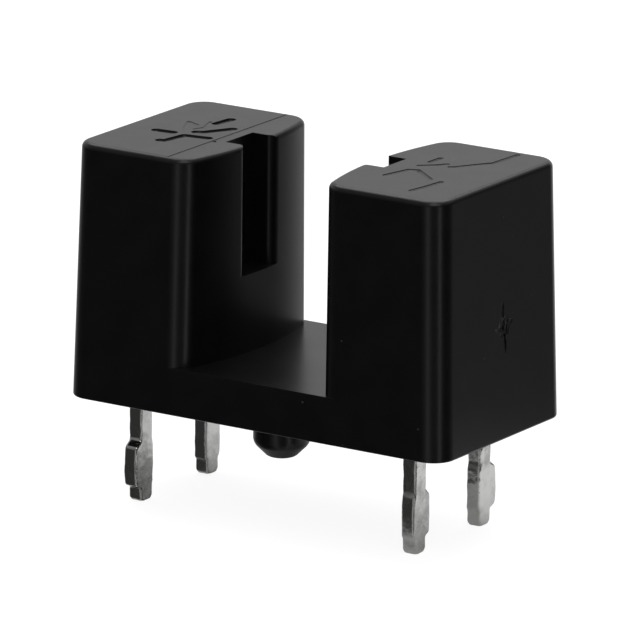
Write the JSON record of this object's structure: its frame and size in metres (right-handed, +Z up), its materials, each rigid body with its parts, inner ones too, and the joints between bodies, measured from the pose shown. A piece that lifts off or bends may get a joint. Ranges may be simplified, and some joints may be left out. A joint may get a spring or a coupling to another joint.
{
  "type": "slotted optical switch",
  "caption": "U-shaped slotted optical switch: an infrared emitter faces a light detector across a slot in a black moulded housing with through-hole leads and a locating peg.",
  "frame": {"origin": "middle of the housing's footprint, in the plane of the lead tips, which the part stands on", "axes": "+Z up along the leads; +X from the emitter tower to the detector tower; +Y from the peg's side to the side with no peg, along the slot"},
  "size_m": [0.0092, 0.0048, 0.0077],
  "materials": {
    "housing_plastic": "satin black moulded plastic",
    "clear_casting": "pale blue infrared-clear cast resin",
    "dark_casting": "near-black resin that passes infrared light",
    "tin_plating": "tin plating on a stamped lead frame",
    "die_surface": "polished semiconductor die",
    "silver_adhesive": "silver-filled adhesive",
    "gold_wire": "bright gold bond wire"
  },
  "bodies": {
    "root": {"housing": "housing_plastic", "emitter_package": "clear_casting", "detector_package": "dark_casting", "emitter_cathode_lead": "tin_plating", "emitter_anode_lead": "tin_plating", "detector_collector_lead": "tin_plating", "detector_emitter_lead": "tin_plating", "emitter_die": "die_surface", "detector_die": "die_surface", "emitter_die_adhesive": "silver_adhesive", "detector_die_adhesive": "silver_adhesive", "emitter_bond_wire": "gold_wire", "detector_bond_wire": "gold_wire"}
  },
  "joints": []
}
